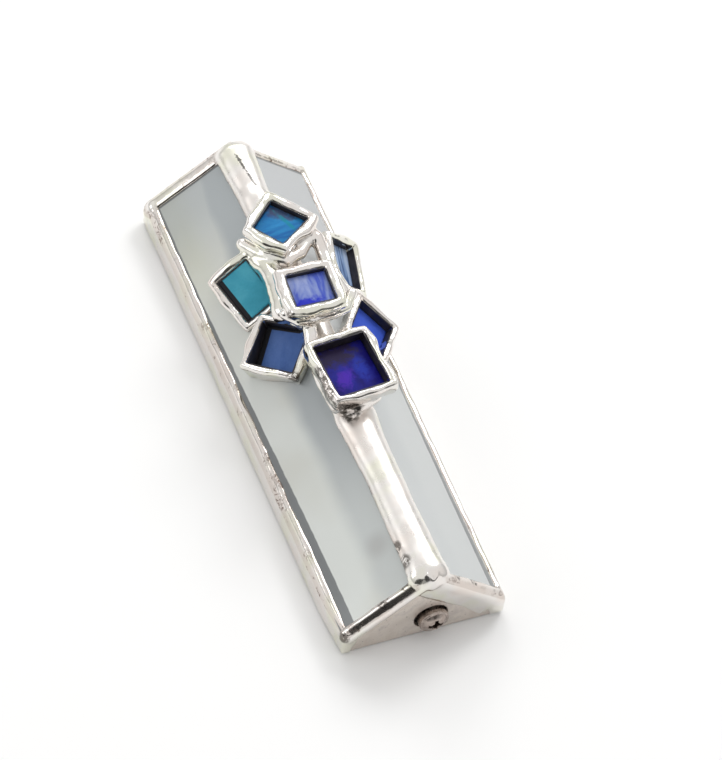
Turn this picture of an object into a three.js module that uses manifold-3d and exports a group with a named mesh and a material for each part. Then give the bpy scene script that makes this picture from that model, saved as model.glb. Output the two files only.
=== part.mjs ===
// Mezuzah case: a roof-shaped box of two frosted glass panels joined by solder seams, with a
// cluster of seven soldered glass tiles on its ridge. It hooks over a metal back strip that is
// screwed to the doorpost, and one screw in the bottom end plate locks it there.
//
// Millimetres. Origin at the middle of the back strip's rear face. +Z points away from the
// doorpost, +Y towards the hooked top end, and the screw is at the -Y end.

import * as THREE from 'three';
import { mergeVertices } from 'three/addons/utils/BufferGeometryUtils.js';
import Module from 'manifold-3d';

const wasm = await Module();
wasm.setup();

// ---------------------------------------------------------------- driving dimensions

const CASE_LENGTH = 110;
const CASE_WIDTH = 35.3;
const CASE_REAR = 0.3;            // the case's edges stand this far off the doorpost
const ROOF_APEX = 20.7;           // height where the two outer glass planes would meet
const ROOF_FALL = 0.88;           // drop of the roof for each millimetre away from the ridge
const GLASS_THICKNESS = 3;
const GLASS_TOP_X = 2.3;          // outer edge of a panel beside the ridge
const GLASS_SIDE_X = 17;          // outer edge of a panel beside the doorpost
const GLASS_HALF_LENGTH = 53.1;
const CLEAR = 0.25;               // gap kept between neighbouring pieces

const RIDGE_AXIS_Z = 17.6;
const RIDGE_KEEL = 1.2;           // how far the bead reaches down between the panels
const EDGE_INNER_X = 14.7;
const EDGE_SHOULDER_Z = 4.5;
const EDGE_ROUND = 0.25;          // how far the side leans in above its shoulder
const EDGE_LIP_TOP_X = 16.5;      // crest of the lip that holds the glass
const EDGE_LIP_X = 15.9;          // inner edge of that lip
const EDGE_LIP_RISE = 0.15;
const EDGE_SEAT = 0.6;            // solder under the glass
const GABLE_FACE = 55.3;
const GABLE_PROUD = 0.5;          // the end seams stand this far above the glass
const GABLE_DEPTH = 4.4;          // and cover this much of the end face below it
const GABLE_LIP = 2.5;            // and reach this far along the case

const PLATE_FACE = 54.6;          // outer face of the end plates, measured from mid-length
const PLATE_THICKNESS = 1;
const PLATE_HALF_WIDTH = 14.3;
const PLATE_TOP = 15.9;
const PLATE_INSET = 1;            // below the roof's outer plane

const SCREW_X = 1.8;
const SCREW_Z = 5.2;
const SCREW_DIAMETER = 3;
const SCREW_BORE = 3.6;
const SCREW_POINT = 0.6;          // chamfer at the tip
const SCREW_TIP = 48;
const HEAD_DIAMETER = 6.4;
const HEAD_FACE = 56;
const HEAD_HEIGHT = 2;
const HEAD_RIM = 1.15;            // height of the head's straight rim
const HEAD_CROWN = [              // the domed top: share of the radius, depth below the face
  [0.55, 0.12],
  [0.85, 0.5],
];
const HEAD_HOLE_DIAMETER = 7.1;
const RECESS_SPAN = 3.4;
const RECESS_WIDTH = 0.8;
const RECESS_DEPTH = 1.2;
const WASHER_DIAMETER = 6.6;
const WASHER_THICKNESS = 0.5;

const STRIP_WIDTH = 17;
const STRIP_THICKNESS = 1;
const STRIP_HOLE_DIAMETER = 4;
const STRIP_HOLES_Y = [-33, 33];
const FORK_FACE = 52.8;           // side of the fork that faces the washer
const FORK_WIDTH = 12;
const FORK_HEIGHT = 9.2;
const FORK_SLOT = 3.8;
const NOTCH_RELIEF = 0.5;         // the sheet's side notches reach this far past its bends
const TONGUE_WIDTH = 8;
const TONGUE_LIFT = 1.5;
const TONGUE_START = 51.5;
const TONGUE_END = 54.8;
const TONGUE_SLOT = { halfWidth: 4.5, bottom: 0.85, top: 3.2 };

const BRACKET_FACE = 51.5;
const BRACKET_THICKNESS = 2;
const BRACKET_HALF_WIDTH = 14.3;
const BRACKET_SHOULDER = 8.2;     // half width of its full-height middle
const BRACKET_BOTTOM = 1.6;
const BRACKET_FOOT = 3.4;         // top of its outer ends
const BRACKET_TOP = 9;

const FRAME_BORDER = 1.7;         // solder around a tile's opening
const FRAME_HEIGHT = 4.2;
const FRAME_LIP = 0.6;            // solder over the tile's face
const FRAME_OVERLAP = 0.6;        // how far the solder laps over the tile on every side
const FRAME_CHAMFER = 1.1;
const TILE_THICKNESS = 2.6;
const POST_RADIUS = 1.9;
const POST_FOOT_RADIUS = 2.6;

// Tiles from the highest to the lowest. centre is the middle of the opening, width and height
// its size. The face leans by lean degrees towards the compass direction leanTo (0 is +X, 90
// is +Y), and the tile is turned in its own plane by spin degrees.
const TILES = [
  { id: 'd', centre: [-0.7, 12, 28], width: 8.5, height: 7.8, lean: 2, leanTo: 180, spin: -3,
    color: 0x4a55c8 },
  { id: 'g', centre: [1, -6.5, 26], width: 11.3, height: 12.4, lean: 3, leanTo: -45, spin: 5,
    color: 0x1f1478 },
  { id: 'a', centre: [0.4, 30.5, 25], width: 8.6, height: 8.4, lean: 4, leanTo: 45, spin: -47,
    color: 0x1e64a0 },
  { id: 'c', centre: [-8.6, 7, 17.5], width: 10.2, height: 9.6, lean: 27, leanTo: 180, spin: -43,
    color: 0x4b69a5 },
  { id: 'b', centre: [-9.3, 21.9, 16.5], width: 10, height: 7.6, lean: 40, leanTo: -140, spin: -81,
    color: 0x4696a5 },
  { id: 'e', centre: [13.1, 22.9, 16], width: 7.6, height: 9.9, lean: 47, leanTo: -20, spin: 0,
    color: 0x82a0d2 },
  { id: 'f', centre: [11.6, 5.8, 17], width: 9, height: 9.4, lean: 35, leanTo: -24, spin: -36,
    color: 0x2d4bb4 },
];
const POSTED_TILES = ['a', 'd', 'g'];

// ---------------------------------------------------------------- materials

const frostedGlass = new THREE.MeshStandardMaterial({ color: 0xc4c9c6, roughness: 0.35, metalness: 0 });
const solder = new THREE.MeshStandardMaterial({ color: 0xd9d6d2, roughness: 0.2, metalness: 1 });
const tinnedPlate = new THREE.MeshStandardMaterial({ color: 0xa89f97, roughness: 0.4, metalness: 1 });
const strip = new THREE.MeshStandardMaterial({ color: 0xa3a5a6, roughness: 0.45, metalness: 1 });
const steel = new THREE.MeshStandardMaterial({ color: 0xb9b6b1, roughness: 0.3, metalness: 1 });

function tileGlass(color) {
  return new THREE.MeshStandardMaterial({ color, roughness: 0.12, metalness: 0 });
}

// ---------------------------------------------------------------- solids and booleans

function toSolid(geometry) {
  const bare = geometry.clone();
  bare.deleteAttribute('normal');
  bare.deleteAttribute('uv');
  const merged = mergeVertices(bare, 1e-5);
  const vertProperties = new Float32Array(merged.attributes.position.array);
  const triVerts = new Uint32Array(merged.index.array);
  return new wasm.Manifold(new wasm.Mesh({ numProp: 3, vertProperties, triVerts }));
}

function toGeometry(solid) {
  const mesh = solid.getMesh();
  const geometry = new THREE.BufferGeometry();
  geometry.setAttribute('position', new THREE.BufferAttribute(mesh.vertProperties, 3));
  geometry.setIndex(new THREE.BufferAttribute(mesh.triVerts, 1));
  const flat = geometry.toNonIndexed();
  flat.computeVertexNormals();
  return flat;
}

// Cuts the cutters away and keeps the largest piece that is left.
function carve(geometry, cutters) {
  const solid = cutters.reduce((rest, cutter) => rest.subtract(toSolid(cutter)), toSolid(geometry));
  const pieces = solid.decompose();
  pieces.sort((first, second) => second.volume() - first.volume());
  return toGeometry(pieces[0]);
}

// ---------------------------------------------------------------- shape helpers

function outlineShape(points) {
  return new THREE.Shape(points.map(([x, y]) => new THREE.Vector2(x, y)));
}

function extrude(points, depth) {
  return new THREE.ExtrudeGeometry(outlineShape(points), { depth, bevelEnabled: false });
}

// An outline in X and Z, swept along Y.
function sweepAlongY(points, startY, endY) {
  return extrude(points, endY - startY).rotateX(Math.PI / 2).translate(0, endY, 0);
}

// An outline in Y and Z, swept along X.
function sweepAlongX(points, startX, endX) {
  const profile = extrude(points, endX - startX).rotateX(Math.PI / 2).rotateZ(Math.PI / 2);
  return profile.translate(startX, 0, 0);
}

function box(lowest, highest) {
  const size = highest.map((value, axis) => value - lowest[axis]);
  const middle = highest.map((value, axis) => (value + lowest[axis]) / 2);
  return new THREE.BoxGeometry(...size).translate(...middle);
}

// A round bar along Y, centred on the screw's axis.
function roundAlongY(diameter, startY, endY, sides = 24) {
  const bar = new THREE.CylinderGeometry(diameter / 2, diameter / 2, endY - startY, sides);
  return bar.translate(SCREW_X, (startY + endY) / 2, SCREW_Z);
}

// Moves each side of a counter-clockwise outline outwards by the distance.
function grow(points, distance) {
  const count = points.length;
  const sides = points.map((point, index) => {
    const next = points[(index + 1) % count];
    const direction = new THREE.Vector2(next[0] - point[0], next[1] - point[1]).normalize();
    const normal = new THREE.Vector2(direction.y, -direction.x);
    const start = new THREE.Vector2(...point).addScaledVector(normal, distance);
    return { start, direction };
  });
  return sides.map((side, index) => {
    const before = sides[(index + count - 1) % count];
    const turn = before.direction.cross(side.direction);
    const along = side.start.clone().sub(before.start).cross(side.direction) / turn;
    const corner = before.start.clone().addScaledVector(before.direction, along);
    return [corner.x, corner.y];
  });
}

function mirrorX(points) {
  return points.map(([x, y]) => [-x, y]).reverse();
}

// Joins rings of equally many points into one closed solid with fan-shaped ends.
function loft(rings) {
  const size = rings[0].length;
  const position = rings.flat(2);
  const index = [];
  for (let ring = 0; ring < rings.length - 1; ring += 1) {
    for (let point = 0; point < size; point += 1) {
      const here = ring * size + point;
      const beside = ring * size + ((point + 1) % size);
      index.push(here, here + size, beside, beside, here + size, beside + size);
    }
  }
  const last = (rings.length - 1) * size;
  for (let point = 1; point < size - 1; point += 1) {
    index.push(0, point, point + 1);
    index.push(last, last + point + 1, last + point);
  }
  const geometry = new THREE.BufferGeometry();
  geometry.setAttribute('position', new THREE.Float32BufferAttribute(position, 3));
  geometry.setIndex(index);
  return geometry;
}

// ---------------------------------------------------------------- the roof's section

const slopeLength = Math.hypot(1, ROOF_FALL);
const slopeNormal = [ROOF_FALL / slopeLength, 1 / slopeLength];
const halfLength = CASE_LENGTH / 2;
const halfWidth = CASE_WIDTH / 2;

// A point at distance x from the ridge, raised off the roof's outer plane along its normal.
function onRoof(x, raised = 0) {
  return [x + raised * slopeNormal[0], ROOF_APEX - ROOF_FALL * x + raised * slopeNormal[1]];
}

const panelOutline = [
  onRoof(GLASS_SIDE_X, -GLASS_THICKNESS),
  onRoof(GLASS_SIDE_X),
  onRoof(GLASS_TOP_X),
  onRoof(GLASS_TOP_X, -GLASS_THICKNESS),
];

const edgeOutline = [
  [EDGE_INNER_X, CASE_REAR],
  [halfWidth, CASE_REAR],
  [halfWidth, EDGE_SHOULDER_Z],
  [halfWidth - EDGE_ROUND, EDGE_SHOULDER_Z + 1],
  onRoof(EDGE_LIP_TOP_X, GABLE_PROUD),
  onRoof(EDGE_LIP_X, EDGE_LIP_RISE),
  onRoof(EDGE_LIP_X, -GLASS_THICKNESS - EDGE_SEAT),
];

const gableOutline = [
  onRoof(GLASS_TOP_X, -GABLE_DEPTH),
  onRoof(GLASS_SIDE_X, -GABLE_DEPTH),
  onRoof(GLASS_SIDE_X, GABLE_PROUD),
  onRoof(GLASS_TOP_X, GABLE_PROUD),
];

function plateEdgeX(z) {
  return (ROOF_APEX - PLATE_INSET * slopeLength - z) / ROOF_FALL;
}

function plateEdgeZ(x) {
  return ROOF_APEX - PLATE_INSET * slopeLength - ROOF_FALL * x;
}

const plateOutline = [
  [-PLATE_HALF_WIDTH, CASE_REAR],
  [PLATE_HALF_WIDTH, CASE_REAR],
  [PLATE_HALF_WIDTH, plateEdgeZ(PLATE_HALF_WIDTH)],
  [plateEdgeX(PLATE_TOP), PLATE_TOP],
  [-plateEdgeX(PLATE_TOP), PLATE_TOP],
  [-PLATE_HALF_WIDTH, plateEdgeZ(PLATE_HALF_WIDTH)],
];

// ---------------------------------------------------------------- glass, ridge and edges

function glassPanel(side, gap = 0) {
  const outline = grow(panelOutline, gap);
  const placed = side > 0 ? outline : mirrorX(outline);
  return sweepAlongY(placed, -GLASS_HALF_LENGTH - gap, GLASS_HALF_LENGTH + gap);
}

// The bead's half width and crown height along the case. It swells at both ends, most at the
// screw end, where it closes in a round knob.
const RIDGE_STATIONS = [
  { y: -55, half: 2.4, crown: 1.6 },
  { y: -54.3, half: 3.6, crown: 2.9 },
  { y: -52.4, half: 4.3, crown: 3.3 },
  { y: -50, half: 3.5, crown: 3.1 },
  { y: -46, half: 2.85, crown: 2.9 },
  { y: 44, half: 2.85, crown: 2.9 },
  { y: 50, half: 3.3, crown: 2.9 },
  { y: 54, half: 3.9, crown: 3.3 },
  { y: 55.3, half: 3.2, crown: 2.7 },
];
const RIDGE_ARC_STEPS = 10;

function ridgeBead(gap = 0) {
  const rings = RIDGE_STATIONS.map(({ y, half, crown }) => {
    const ring = [];
    for (let step = 0; step <= RIDGE_ARC_STEPS; step += 1) {
      const angle = (Math.PI * step) / RIDGE_ARC_STEPS;
      const x = (half + gap) * Math.cos(angle);
      ring.push([x, y + gap * Math.sign(y), RIDGE_AXIS_Z + (crown + gap) * Math.sin(angle)]);
    }
    ring.push([0, y + gap * Math.sign(y), RIDGE_AXIS_Z - RIDGE_KEEL - gap]);
    return ring;
  });
  return loft(rings);
}

function edgeSeam(side, gap = 0) {
  const outline = gap > 0 ? grow(edgeOutline, gap) : edgeOutline;
  const placed = side > 0 ? outline : mirrorX(outline);
  return sweepAlongY(placed, -halfLength - gap, halfLength + gap);
}

// ---------------------------------------------------------------- ends

// end is -1 at the screw end and +1 at the hooked end.
function spanAtEnd(end, outer, thickness) {
  const [near, far] = [end * outer, end * (outer - thickness)];
  return near < far ? [near, far] : [far, near];
}

function gableSeam(end, side) {
  const outline = side > 0 ? gableOutline : mirrorX(gableOutline);
  const bar = sweepAlongY(outline, ...spanAtEnd(end, GABLE_FACE, GABLE_LIP));
  return carve(bar, [
    glassPanel(side, CLEAR),
    edgeSeam(side, CLEAR),
    ridgeBead(CLEAR),
    endPlateBlank(end, CLEAR),
    acrossMiddle(side),
  ]);
}

// Everything on the other side of the ridge, and a small gap beside the middle plane.
function acrossMiddle(side) {
  const [near, far] = [side * CLEAR / 2, -side * CASE_WIDTH];
  const low = [Math.min(near, far), -CASE_LENGTH, -ROOF_APEX];
  const high = [Math.max(near, far), CASE_LENGTH, 2 * ROOF_APEX];
  return box(low, high);
}

function endPlateBlank(end, gap = 0) {
  const outline = gap > 0 ? grow(plateOutline, gap) : plateOutline;
  return sweepAlongY(outline, ...spanAtEnd(end, PLATE_FACE + gap, PLATE_THICKNESS + 2 * gap));
}

function bottomEndPlate() {
  const hole = roundAlongY(HEAD_HOLE_DIAMETER, -halfLength, -BRACKET_FACE);
  return carve(endPlateBlank(-1), [hole, edgeSeam(1, CLEAR), edgeSeam(-1, CLEAR)]);
}

function topEndPlate() {
  const { halfWidth: slotHalf, bottom, top } = TONGUE_SLOT;
  const slot = box([-slotHalf, PLATE_FACE - 2 * PLATE_THICKNESS, bottom], [slotHalf, halfLength, top]);
  return carve(endPlateBlank(1), [slot, edgeSeam(1, CLEAR), edgeSeam(-1, CLEAR)]);
}

// The tapped cross piece behind the fork, which the screw pulls against.
function clampBracket() {
  const outline = [
    [-BRACKET_HALF_WIDTH, BRACKET_BOTTOM],
    [BRACKET_HALF_WIDTH, BRACKET_BOTTOM],
    [BRACKET_HALF_WIDTH, BRACKET_FOOT],
    [BRACKET_SHOULDER, BRACKET_TOP],
    [-BRACKET_SHOULDER, BRACKET_TOP],
    [-BRACKET_HALF_WIDTH, BRACKET_FOOT],
  ];
  const plate = sweepAlongY(outline, ...spanAtEnd(-1, BRACKET_FACE, BRACKET_THICKNESS));
  const bore = roundAlongY(SCREW_BORE, -FORK_FACE, -BRACKET_FACE + 2 * BRACKET_THICKNESS, 16);
  const walls = [-1, 1].flatMap((side) => [glassPanel(side, CLEAR), edgeSeam(side, CLEAR)]);
  return carve(plate, [bore, ...walls]);
}

// ---------------------------------------------------------------- back strip

// One bent sheet: flat on the doorpost, turned up into a slotted fork at the screw end and
// stepped up into a narrow tongue at the hooked end.
function backStrip() {
  const t = STRIP_THICKNESS;
  const profile = [
    [-FORK_FACE, 0],
    [TONGUE_START - TONGUE_LIFT, 0],
    [TONGUE_START, TONGUE_LIFT],
    [TONGUE_END, TONGUE_LIFT],
    [TONGUE_END, TONGUE_LIFT + t],
    [TONGUE_START - t / 2, TONGUE_LIFT + t],
    [TONGUE_START - TONGUE_LIFT - t / 2, t],
    [-FORK_FACE + t, t],
    [-FORK_FACE + t, FORK_HEIGHT],
    [-FORK_FACE, FORK_HEIGHT],
  ];
  const half = STRIP_WIDTH / 2;
  const sheet = sweepAlongX(profile, -half, half);
  const cutters = [forkSlot()];
  for (const side of [-1, 1]) {
    cutters.push(sideCutter(side, FORK_WIDTH / 2, [-halfLength, -FORK_FACE + t + NOTCH_RELIEF], 2 * t));
    cutters.push(sideCutter(side, TONGUE_WIDTH / 2, [TONGUE_START - NOTCH_RELIEF, halfLength], t / 2));
  }
  for (const y of STRIP_HOLES_Y) {
    const hole = new THREE.CylinderGeometry(STRIP_HOLE_DIAMETER / 2, STRIP_HOLE_DIAMETER / 2, 4 * t, 20);
    cutters.push(hole.rotateX(Math.PI / 2).translate(0, y, 0));
  }
  return carve(sheet, cutters);
}

// Trims the sheet beyond keepHalf on one side, between two stations and above a height.
function sideCutter(side, keepHalf, [startY, endY], startZ) {
  const [near, far] = [side * keepHalf, side * STRIP_WIDTH];
  const low = [Math.min(near, far), startY, startZ];
  const high = [Math.max(near, far), endY, 2 * FORK_HEIGHT];
  return box(low, high);
}

// A slot that is round at the bottom and open away from the doorpost.
function forkSlot() {
  const half = FORK_SLOT / 2;
  const points = [];
  for (let step = 0; step <= 8; step += 1) {
    const angle = Math.PI + (Math.PI * step) / 8;
    points.push([SCREW_X + half * Math.cos(angle), SCREW_Z + half * Math.sin(angle)]);
  }
  points.push([SCREW_X + half, 2 * FORK_HEIGHT], [SCREW_X - half, 2 * FORK_HEIGHT]);
  return sweepAlongY(points, -FORK_FACE - 1, -FORK_FACE + 2 * STRIP_THICKNESS);
}

// ---------------------------------------------------------------- screw and washer

// Both are built along +Y from the head's bearing face, and placed on the screw's axis.
function lockScrew() {
  const head = HEAD_DIAMETER / 2;
  const shank = SCREW_DIAMETER / 2;
  const length = HEAD_FACE - HEAD_HEIGHT - SCREW_TIP;
  const profile = [
    [0, -HEAD_HEIGHT],
    ...HEAD_CROWN.map(([share, depth]) => [head * share, -HEAD_HEIGHT + depth]),
    [head, -HEAD_RIM],
    [head, 0],
    [shank, 0],
    [shank, length - SCREW_POINT],
    [shank - SCREW_POINT, length],
    [0, length],
  ];
  const body = new THREE.LatheGeometry(profile.map(([x, y]) => new THREE.Vector2(x, y)), 24);
  const reach = RECESS_SPAN / 2;
  const slot = RECESS_WIDTH / 2;
  const floor = -HEAD_HEIGHT + RECESS_DEPTH;
  const above = -HEAD_HEIGHT - 1;
  return carve(body, [
    box([-reach, above, -slot], [reach, floor, slot]),
    box([-slot, above, -reach], [slot, floor, reach]),
  ]);
}

function washer() {
  const profile = [
    [SCREW_BORE / 2, 0],
    [WASHER_DIAMETER / 2, 0],
    [WASHER_DIAMETER / 2, WASHER_THICKNESS],
    [SCREW_BORE / 2, WASHER_THICKNESS],
    [SCREW_BORE / 2, 0],
  ];
  return new THREE.LatheGeometry(profile.map(([x, y]) => new THREE.Vector2(x, y)), 24);
}

// ---------------------------------------------------------------- tiles

function tilePose({ centre, lean, leanTo, spin }) {
  const leanAngle = THREE.MathUtils.degToRad(lean);
  const direction = THREE.MathUtils.degToRad(leanTo);
  const normal = new THREE.Vector3(
    Math.sin(leanAngle) * Math.cos(direction),
    Math.sin(leanAngle) * Math.sin(direction),
    Math.cos(leanAngle),
  );
  const across = new THREE.Vector3(0, 1, 0).cross(normal).normalize();
  const up = normal.clone().cross(across);
  const pose = new THREE.Matrix4().makeBasis(across, up, normal);
  pose.multiply(new THREE.Matrix4().makeRotationZ(THREE.MathUtils.degToRad(spin)));
  return pose.setPosition(...centre);
}

// A rectangle with cut corners around a tile's opening.
function framePoints({ width, height }, border, chamfer) {
  const [x, y] = [width / 2 + border, height / 2 + border];
  return [
    [x, -y + chamfer],
    [x, y - chamfer],
    [x - chamfer, y],
    [-x + chamfer, y],
    [-x, y - chamfer],
    [-x, -y + chamfer],
    [-x + chamfer, -y],
    [x - chamfer, -y],
  ];
}

// Everything that a tile and its frame fill, with a gap around it, in the tile's own frame.
function tileEnvelope(tile, gap) {
  const block = extrude(framePoints(tile, FRAME_BORDER + gap, FRAME_CHAMFER), FRAME_HEIGHT + 2 * gap);
  return block.translate(0, 0, -FRAME_HEIGHT - gap);
}

// The roof, the ridge and the tiles above this one, as cutters in the tile's own frame.
function tileObstacles(order, pose) {
  const toTile = pose.clone().invert();
  const cutters = TILES.slice(0, order).map((higher) => {
    const relative = toTile.clone().multiply(tilePose(higher));
    return tileEnvelope(higher, CLEAR).applyMatrix4(relative);
  });
  cutters.push(glassPanel(-1, CLEAR).applyMatrix4(toTile));
  cutters.push(glassPanel(1, CLEAR).applyMatrix4(toTile));
  cutters.push(ridgeBead(CLEAR).applyMatrix4(toTile));
  return cutters;
}

function plainRectangle({ width, height }, border) {
  const [x, y] = [width / 2 + border, height / 2 + border];
  return [[-x, -y], [x, -y], [x, y], [-x, y]];
}

function tileFrame(tile, obstacles) {
  const block = tileEnvelope(tile, 0);
  const opening = extrude(plainRectangle(tile, 0), 3 * FRAME_HEIGHT).translate(0, 0, -2 * FRAME_HEIGHT);
  const pocketHeight = TILE_THICKNESS + 2 * CLEAR;
  const pocket = extrude(plainRectangle(tile, FRAME_OVERLAP + CLEAR), pocketHeight);
  pocket.translate(0, 0, -FRAME_LIP - pocketHeight);
  return carve(block, [opening, pocket, ...obstacles]);
}

function tileSlab(tile, obstacles) {
  const slab = extrude(plainRectangle(tile, FRAME_OVERLAP), TILE_THICKNESS);
  slab.translate(0, 0, -FRAME_LIP - CLEAR - TILE_THICKNESS);
  return carve(slab, obstacles);
}

// A solder column between the ridge and the underside of a tile's frame.
function tilePost(tile) {
  const [x, y, z] = tile.centre;
  const foot = RIDGE_AXIS_Z;
  const height = z - foot;
  const column = new THREE.CylinderGeometry(POST_RADIUS, POST_FOOT_RADIUS, height, 12);
  column.rotateX(Math.PI / 2).translate(x, y, foot + height / 2);
  const envelopes = TILES.map((other) => tileEnvelope(other, CLEAR).applyMatrix4(tilePose(other)));
  return carve(column, [...envelopes, ridgeBead(CLEAR), glassPanel(1, CLEAR), glassPanel(-1, CLEAR)]);
}

// ---------------------------------------------------------------- assembly

const mezuzahCase = new THREE.Group();

function addPiece(parent, name, geometry, material) {
  const mesh = new THREE.Mesh(geometry, material);
  mesh.name = name;
  parent.add(mesh);
  return mesh;
}

addPiece(mezuzahCase, 'back_strip', backStrip(), strip);

const glazedCase = new THREE.Group();
mezuzahCase.add(glazedCase);
addPiece(glazedCase, 'ridge_seam', carve(ridgeBead(), [glassPanel(-1, CLEAR), glassPanel(1, CLEAR)]), solder);
for (const [side, name] of [[-1, 'left'], [1, 'right']]) {
  addPiece(glazedCase, `${name}_glass_panel`, glassPanel(side), frostedGlass);
  addPiece(glazedCase, `${name}_edge_seam`, carve(edgeSeam(side), [glassPanel(side, CLEAR)]), solder);
  for (const [end, endName] of [[-1, 'bottom'], [1, 'top']]) {
    addPiece(glazedCase, `${endName}_${name}_gable_seam`, gableSeam(end, side), solder);
  }
}
addPiece(glazedCase, 'bottom_end_plate', bottomEndPlate(), tinnedPlate);
addPiece(glazedCase, 'top_end_plate', topEndPlate(), tinnedPlate);
addPiece(glazedCase, 'clamp_bracket', clampBracket(), steel);

TILES.forEach((tile, order) => {
  const pose = tilePose(tile);
  const obstacles = tileObstacles(order, pose);
  const mount = new THREE.Group();
  mount.applyMatrix4(pose);
  glazedCase.add(mount);
  addPiece(mount, `tile_${tile.id}_frame`, tileFrame(tile, obstacles), solder);
  addPiece(mount, `tile_${tile.id}_glass`, tileSlab(tile, obstacles), tileGlass(tile.color));
  if (POSTED_TILES.includes(tile.id)) {
    addPiece(glazedCase, `tile_${tile.id}_post`, tilePost(tile), solder);
  }
});

const screwMount = new THREE.Group();
screwMount.position.set(SCREW_X, -HEAD_FACE + HEAD_HEIGHT, SCREW_Z);
mezuzahCase.add(screwMount);
addPiece(screwMount, 'lock_screw', lockScrew(), steel);
const washerPiece = addPiece(screwMount, 'washer', washer(), steel);
washerPiece.position.y = CLEAR;

export default mezuzahCase;
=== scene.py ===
"""The looks of the mezuzah case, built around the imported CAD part.

Lengths are in millimetres in the part's own frame, and turn into metres where a mesh is made.
The roof's outer planes fall ROOF_FALL mm for each millimetre away from the ridge. Solder seams
and tile frames are fused lumps of one casting, so each group is swept from outlines, voxel
remeshed, smoothed and kneaded with noise. Tiles are cups of dark foil with a coloured floor.
"""

import math
from functools import partial

import bmesh
import bpy
import numpy as np
from mathutils import Matrix, Vector, noise


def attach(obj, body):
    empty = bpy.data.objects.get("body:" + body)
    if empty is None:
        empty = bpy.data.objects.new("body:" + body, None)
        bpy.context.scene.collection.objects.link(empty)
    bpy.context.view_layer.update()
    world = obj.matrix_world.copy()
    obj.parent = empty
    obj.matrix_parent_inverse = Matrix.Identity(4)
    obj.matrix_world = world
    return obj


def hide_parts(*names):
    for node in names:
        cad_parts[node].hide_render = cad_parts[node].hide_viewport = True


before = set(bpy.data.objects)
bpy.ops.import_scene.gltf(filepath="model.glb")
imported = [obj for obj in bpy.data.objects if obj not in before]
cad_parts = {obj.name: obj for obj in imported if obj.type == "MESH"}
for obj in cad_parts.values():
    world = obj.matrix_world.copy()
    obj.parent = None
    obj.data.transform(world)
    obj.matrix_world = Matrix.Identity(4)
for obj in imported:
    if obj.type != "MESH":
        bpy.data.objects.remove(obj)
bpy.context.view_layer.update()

MM = 0.001
SQUARE = [(-1, -1), (1, -1), (1, 1), (-1, 1)]


def configure(thing, **settings):
    for key, value in settings.items():
        setattr(thing, key, value)


def add_object(name, data):
    made = bpy.data.objects.new(name, data)
    bpy.context.scene.collection.objects.link(made)
    return made


# -------------------- camera

CAMERA_AZIMUTH = math.radians(-31.64)
CAMERA_ELEVATION = math.radians(53.97)
CAMERA_ROLL = math.radians(12.39)
CAMERA_TARGET = Vector((7.36, -0.9, 10)) * MM
CAMERA_DISTANCE = 1.1974
CAMERA_LENS = 284.2


def add_camera():
    data = bpy.data.cameras.new("camera")
    configure(data, sensor_width=36, sensor_fit="AUTO", lens=CAMERA_LENS, clip_start=0.05)
    camera = add_object("camera", data)
    turn = Matrix.Rotation(CAMERA_AZIMUTH, 4, "Z")
    turn = turn @ Matrix.Rotation(math.pi / 2 - CAMERA_ELEVATION, 4, "X")
    turn = turn @ Matrix.Rotation(CAMERA_ROLL, 4, "Z")
    turn = turn @ Matrix.Translation((0, 0, CAMERA_DISTANCE))
    camera.matrix_world = Matrix.Translation(CAMERA_TARGET) @ turn
    bpy.context.scene.camera = camera


# -------------------- the case's sizes

ROOF_APEX = 20.7
ROOF_FALL = 0.88
SLOPE = math.hypot(1, ROOF_FALL)
ROOF_NORMAL = (ROOF_FALL / SLOPE, 1 / SLOPE)
GLASS_EDGE_X = 2.3  # upper edge of a panel beside the ridge
SCREW_X = 1.8
SCREW_Z = 5.2

# -------------------- node helpers


def new_material(name):
    """A material, its shader, and each point's place in millimetres."""
    material = bpy.data.materials.new(name)
    material.use_nodes = True
    shader = material.node_tree.nodes["Principled BSDF"]
    place = add_node("TexCoord", tree=material.node_tree).outputs["Object"]
    scaled = add_node("VectorMath", {"operation": "SCALE"}, Vector=place, Scale=1 / MM)
    return material, shader, scaled.outputs[0]


def tree_of(*values):
    """The node tree of the first value that is a socket."""
    return next(value.id_data for value in values if isinstance(value, bpy.types.NodeSocket))


def add_node(kind, settings=None, tree=None, **inputs):
    """A new node, in the tree that is given or else in that of its inputs."""
    made = (tree or tree_of(*inputs.values())).nodes.new("ShaderNode" + kind)
    configure(made, **(settings or {}))
    fill(made, **inputs)
    return made


def fill(made, **inputs):
    """Links a node's inputs to the values that are sockets, and sets the others."""
    for key, value in inputs.items():
        connect(made.inputs[key.replace("_", " ")], value)


def connect(socket, value):
    if isinstance(value, bpy.types.NodeSocket):
        socket.id_data.links.new(value, socket)
    else:
        socket.default_value = value


def calc(operation, *values):
    made = add_node("Math", {"operation": operation}, tree_of(*values))
    for socket, value in zip(made.inputs, values):
        connect(socket, value)
    return made.outputs[0]


product = partial(calc, "MULTIPLY")
plus = partial(calc, "ADD")
minus = partial(calc, "SUBTRACT")
larger = partial(calc, "MAXIMUM")


def vector(operation, first, second=(0, 0, 0)):
    """A vector operation: its value where it measures something, or else its vector."""
    made = add_node("VectorMath", {"operation": operation}, tree_of(first, second))
    connect(made.inputs[0], first)
    connect(made.inputs[1], second)
    measures = operation in ("DISTANCE", "DOT_PRODUCT", "LENGTH")
    return made.outputs["Value" if measures else "Vector"]


def drift(grain, amount):
    """A grain from 0 to 1 as an even drift to both sides."""
    return product(minus(grain, 0.5), amount)


def step(value, low, high, start=0.0, end=1.0):
    """A smooth change from start to end as value goes from low to high."""
    return add_node("MapRange", {"interpolation_type": "SMOOTHSTEP"}, Value=value, From_Min=low,
                    From_Max=high, To_Min=start, To_Max=end).outputs["Result"]


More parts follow.
